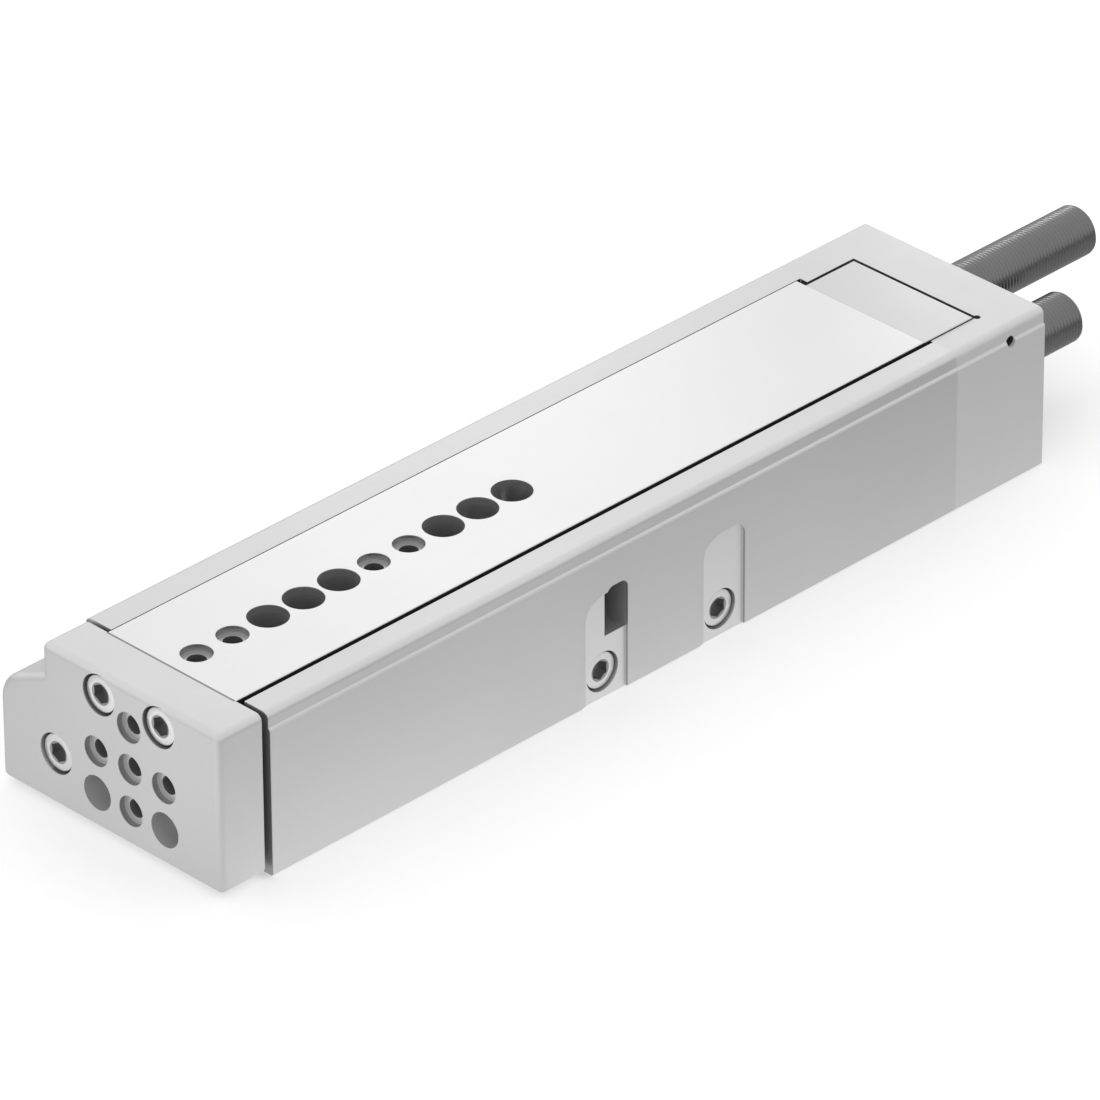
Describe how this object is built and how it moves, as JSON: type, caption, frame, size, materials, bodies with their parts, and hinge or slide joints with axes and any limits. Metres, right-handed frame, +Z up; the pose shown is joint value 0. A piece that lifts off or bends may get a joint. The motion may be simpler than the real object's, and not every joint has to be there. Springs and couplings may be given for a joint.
{
  "type": "pneumatic slide table",
  "caption": "Ball-guided slide table on a flat housing with a cylinder in a side lobe, front yoke plate, rear end cap and two shock absorbers that cushion both ends of travel.",
  "frame": {"origin": "on the underside, on the centre plane of the table, midway along housing and end cap", "axes": "+X along the travel towards the yoke plate, +Y towards the side with the two pockets, +Z up"},
  "size_m": [0.2918, 0.066, 0.039],
  "materials": {
    "anodised_body": "clear anodised, finely matt",
    "anodised_block": "clear anodised, finely matt",
    "ground_steel": "ground and polished",
    "hardened_steel": "hardened and ground",
    "cage_steel": "punched strip",
    "ball_steel": "polished bearing steel",
    "screw_steel": "zinc plated",
    "absorber_tube": "nickel plated thread",
    "plunger_chrome": "ground and chrome plated",
    "buffer_urethane": "moulded urethane",
    "bumper_urethane": "moulded urethane",
    "seal_rubber": "nitrile",
    "magnet_ferrite": "plastic bonded ferrite",
    "piston_aluminium": "turned",
    "spring_steel": "phosphated"
  },
  "bodies": {
    "housing": {"housing": "anodised_body", "end_cap": "anodised_body", "guide_rail_left": "hardened_steel", "guide_rail_right": "hardened_steel", "end_cap_screws": "screw_steel", "side_screws": "screw_steel", "rear_absorber_lock": "screw_steel", "stop_pin_lock": "screw_steel", "retract_stop_pin": "hardened_steel", "advance_stop": "hardened_steel", "absorber_rear": "absorber_tube", "rod_gland": "piston_aluminium", "gland_o_ring": "seal_rubber", "rod_seal": "seal_rubber", "rod_wiper": "seal_rubber", "retaining_ring": "spring_steel", "front_bumper": "bumper_urethane", "rear_bumper": "bumper_urethane"},
    "table": {"slide_table": "ground_steel", "yoke_plate": "anodised_body", "yoke_screws": "screw_steel", "rod_screw": "screw_steel", "rear_block": "anodised_block", "rear_block_screws": "screw_steel", "front_absorber_lock": "screw_steel", "absorber_front": "absorber_tube", "retract_lug": "hardened_steel", "retract_lug_screws": "screw_steel", "piston_rod": "plunger_chrome", "piston": "piston_aluminium", "piston_seals": "seal_rubber", "magnet_ring": "magnet_ferrite"},
    "cage_left": {"ball_cage_left": "cage_steel", "guide_balls_left": "ball_steel"},
    "cage_right": {"ball_cage_right": "cage_steel", "guide_balls_right": "ball_steel"},
    "plunger_front": {"plunger_front": "plunger_chrome", "plunger_buffer_front": "buffer_urethane"},
    "plunger_rear": {"plunger_rear": "plunger_chrome", "plunger_buffer_rear": "buffer_urethane"}
  },
  "joints": [
    {"name": "table_slide", "type": "slide", "parent": "housing", "child": "table", "axis": [1, 0, 0], "range_m": [0, 0.1]},
    {"name": "cage_left_slide", "type": "slide", "parent": "housing", "child": "cage_left", "axis": [1, 0, 0], "range_m": [0, 0.05]},
    {"name": "cage_right_slide", "type": "slide", "parent": "housing", "child": "cage_right", "axis": [1, 0, 0], "range_m": [0, 0.05]},
    {"name": "front_plunger_stroke", "type": "slide", "parent": "table", "child": "plunger_front", "axis": [1, 0, 0], "range_m": [-0.008, 0], "stiffness_N_per_m": 600},
    {"name": "rear_plunger_stroke", "type": "slide", "parent": "housing", "child": "plunger_rear", "axis": [1, 0, 0], "range_m": [-0.008, 0], "stiffness_N_per_m": 600}
  ],
  "couplings": [
    {"joint": "cage_left_slide", "follows": "table_slide", "ratio": 0.5},
    {"joint": "cage_right_slide", "follows": "table_slide", "ratio": 0.5}
  ]
}
